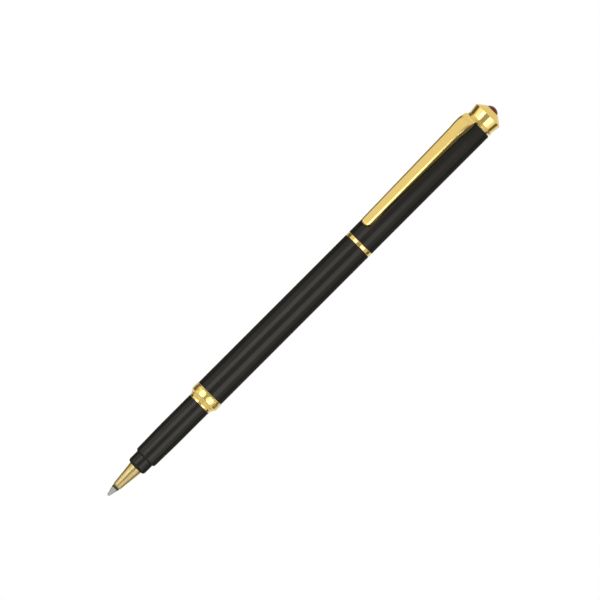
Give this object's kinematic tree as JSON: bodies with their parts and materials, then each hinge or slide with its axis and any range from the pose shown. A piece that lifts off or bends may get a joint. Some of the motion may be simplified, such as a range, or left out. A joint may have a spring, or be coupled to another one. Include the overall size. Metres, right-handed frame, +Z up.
{
  "type": "rollerball pen",
  "caption": "Slim rollerball pen with its cap posted: black lacquered barrel, grip and cap, gold nose cone, rings, clip and flared crown with a dark red jewel, and a spring-backed refill.",
  "frame": {"origin": "on the pen's axis at the middle of the grip's straight part, where the fingers hold it, 30.45 mm above the writing point", "axes": "+Z up the axis from the writing point to the crown; the clip faces -Y; +X to the right as the clip is seen"},
  "size_m": [0.0094, 0.0111, 0.1561],
  "materials": {
    "gold_plate": "bright gold plate on turned brass",
    "gold_satin": "satin gold plate on turned brass",
    "black_lacquer": "gloss black lacquer on brass",
    "bare_brass": "bare turned brass",
    "nickel_silver": "bright turned nickel silver",
    "carbide": "polished tungsten carbide",
    "spring_steel": "drawn spring wire",
    "stem_plastic": "moulded black plastic",
    "tube_plastic": "pale moulded plastic",
    "liner_plastic": "moulded dark grey plastic",
    "ink_fibre": "polyester fibre soaked in ink",
    "jewel_red": "polished dark red cabochon"
  },
  "bodies": {
    "section": {"grip": "black_lacquer", "nose_collar": "black_lacquer", "nose_cone": "gold_satin", "connector": "bare_brass", "grip_ring": "gold_plate"},
    "refill": {"ink_tube": "tube_plastic", "stem": "stem_plastic", "point": "nickel_silver", "ink_wick": "ink_fibre", "ink_filler": "ink_fibre", "end_plug": "stem_plastic"},
    "ball": {"ball": "carbide"},
    "band": {"centre_band": "gold_plate"},
    "barrel": {"barrel_tube": "black_lacquer", "barrel_bush": "bare_brass", "barrel_tail": "black_lacquer", "refill_spring": "spring_steel"},
    "clutch": {"cap_clutch": "bare_brass"},
    "cap": {"cap_tube": "black_lacquer", "mouth_ring": "gold_plate", "inner_cap": "liner_plastic", "clip_eyelet": "gold_plate", "neck_ring": "gold_plate", "crown": "gold_plate", "crown_screw": "nickel_silver", "washer": "nickel_silver", "jewel": "jewel_red"},
    "clip": {"clip": "gold_plate"}
  },
  "joints": [
    {"name": "refill_press", "type": "slide", "parent": "section", "child": "refill", "axis": [0, 0, 1], "range_m": [0, 0.0005], "stiffness_N_per_m": 800, "springref_m": -0.001, "deforming": ["refill_spring"]},
    {"name": "ball_roll", "type": "hinge", "parent": "refill", "child": "ball", "pos_m": [0, 0, -0.0301], "axis": [1, 0, 0], "continuous": true},
    {"name": "barrel_advance", "type": "slide", "parent": "section", "child": "band", "axis": [0, 0, 1], "range_m": [0, 0.0053]},
    {"name": "barrel_turn", "type": "hinge", "parent": "band", "child": "barrel", "pos_m": [0, 0, 0], "axis": [0, 0, 1], "range_deg": [0, 2520]},
    {"name": "cap_pull", "type": "slide", "parent": "barrel", "child": "clutch", "axis": [0, 0, 1], "range_m": [0, 0.015]},
    {"name": "cap_turn", "type": "hinge", "parent": "clutch", "child": "cap", "pos_m": [0, 0, 0], "axis": [0, 0, 1], "continuous": true},
    {"name": "clip_flex", "type": "hinge", "parent": "cap", "child": "clip", "pos_m": [0, -0.0052, 0.11847], "axis": [-1, 0, 0], "range_deg": [0, 2.5], "stiffness_Nm_per_rad": 1, "springref_deg": -1.15}
  ],
  "couplings": [
    {"joint": "barrel_advance", "follows": "barrel_turn", "m_per_rad": 0.00011937}
  ]
}
